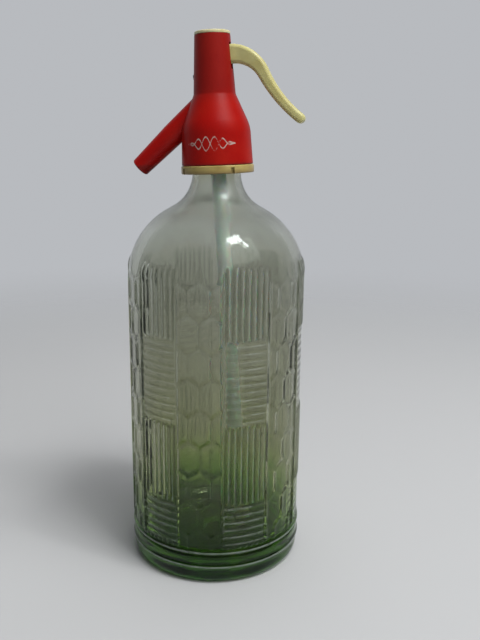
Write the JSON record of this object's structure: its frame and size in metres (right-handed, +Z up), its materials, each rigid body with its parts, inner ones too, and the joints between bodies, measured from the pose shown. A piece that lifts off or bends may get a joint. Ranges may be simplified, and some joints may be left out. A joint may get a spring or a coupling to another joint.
{
  "type": "soda siphon",
  "caption": "Pressed glass soda siphon with a screwed lever head, a sloping spout and a dip tube; pressing the lever lifts a sprung valve.",
  "frame": {"origin": "centre of the bottle's foot on the floor plane", "axes": "+Z up along the bottle's axis, +X towards the lever, -X towards the spout"},
  "size_m": [0.0988, 0.0988, 0.2914],
  "materials": {
    "glass": "pressed relief pattern, clear with a green cast",
    "red_plastic": "glossy moulded",
    "ivory_plastic": "glossy, a little aged",
    "tube_plastic": "milky, translucent",
    "plated_metal": "dull nickel plate",
    "brass": "turned",
    "steel": "bright stainless",
    "rubber": "matt"
  },
  "bodies": {
    "siphon_body": {"bottle": "glass", "collar_half_lever_side": "brass", "collar_half_spout_side": "brass", "clamp_ring": "ivory_plastic", "neck_gasket": "rubber", "head_shell": "red_plastic", "valve_body": "plated_metal", "spout_tube": "red_plastic", "spout_seal": "rubber", "tube_holder": "brass", "tube_grommet": "rubber", "dip_tube": "tube_plastic", "gland_packing": "rubber", "gland_nut": "brass", "return_spring": "steel", "lever_pin": "steel", "top_cap": "ivory_plastic", "cap_washer": "rubber", "shell_screw": "steel"},
    "lever": {"lever": "ivory_plastic"},
    "valve": {"valve_piston": "brass", "valve_disc": "rubber", "disc_screw": "steel", "spring_cup": "brass"}
  },
  "joints": [
    {"name": "lever_press", "type": "hinge", "parent": "siphon_body", "child": "lever", "pos_m": [0.00312, 0, 0.27838], "axis": [0, 1, 0], "range_deg": [0, 20], "stiffness_Nm_per_rad": 1.2, "springref_deg": -20.05},
    {"name": "valve_lift", "type": "slide", "parent": "siphon_body", "child": "valve", "axis": [-0.0454, 0, 0.999], "range_m": [0, 0.00183], "deforming": ["return_spring"]}
  ],
  "couplings": [
    {"joint": "valve_lift", "follows": "lever_press", "m_per_rad": 0.0051736}
  ]
}
